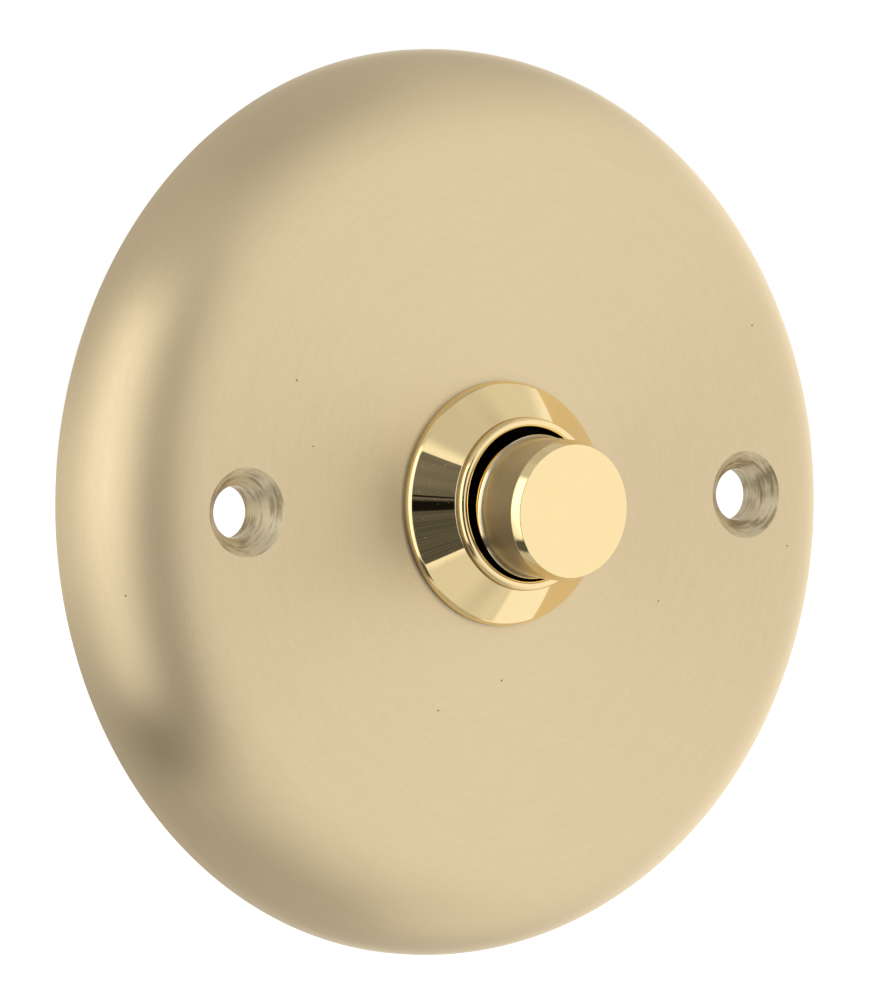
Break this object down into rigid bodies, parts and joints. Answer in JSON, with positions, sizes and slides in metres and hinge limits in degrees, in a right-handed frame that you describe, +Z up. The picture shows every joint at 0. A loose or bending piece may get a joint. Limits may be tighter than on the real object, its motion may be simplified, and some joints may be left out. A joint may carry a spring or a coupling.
{
  "type": "round bell push",
  "caption": "Round domed brass bell push: a dished plate with countersunk fixing holes, a polished conical bezel and a sprung push button over a contact base.",
  "frame": {"origin": "centre of the plate's back, on the wall", "axes": "-Y out of the wall along the plate's axis, +Z up, +X to the right across the two fixing holes"},
  "size_m": [0.076, 0.0207, 0.076],
  "materials": {
    "satin_brass": "satin, brushed in circles",
    "polished_brass": "mirror polished",
    "plain_brass": "as turned or pressed",
    "silver_tip": "silver contact metal",
    "steel": "zinc plated",
    "spring_steel": "drawn wire",
    "black_moulding": "moulded phenolic resin",
    "ivory_moulding": "moulded, insulating"
  },
  "bodies": {
    "plate": {"escutcheon_plate": "satin_brass", "bezel": "polished_brass", "lock_washer": "steel", "bezel_nut": "plain_brass", "return_spring": "spring_steel", "contact_base": "black_moulding", "base_screws": "steel", "spring_washers": "steel", "contact_strip_left": "plain_brass", "contact_strip_right": "plain_brass", "contact_tip_left": "silver_tip", "contact_tip_right": "silver_tip", "terminal_insert_left": "plain_brass", "terminal_insert_right": "plain_brass", "terminal_screw_left": "plain_brass", "terminal_screw_right": "plain_brass", "terminal_washer_left": "plain_brass", "terminal_washer_right": "plain_brass", "strip_rivet_left": "plain_brass", "strip_rivet_right": "plain_brass"},
    "push_button": {"button": "polished_brass"},
    "plunger_unit": {"plunger": "ivory_moulding", "bridge_disc": "plain_brass", "retaining_clip": "spring_steel"}
  },
  "joints": [
    {"name": "button_press", "type": "slide", "parent": "plate", "child": "push_button", "axis": [0, 1, 0], "range_m": [0, 0.0015], "stiffness_N_per_m": 700, "springref_m": -0.0015},
    {"name": "plunger_slide", "type": "slide", "parent": "plate", "child": "plunger_unit", "axis": [0, 1, 0], "range_m": [0, 0.0015], "deforming": ["return_spring"]}
  ],
  "couplings": [
    {"joint": "plunger_slide", "follows": "button_press", "ratio": 1}
  ]
}
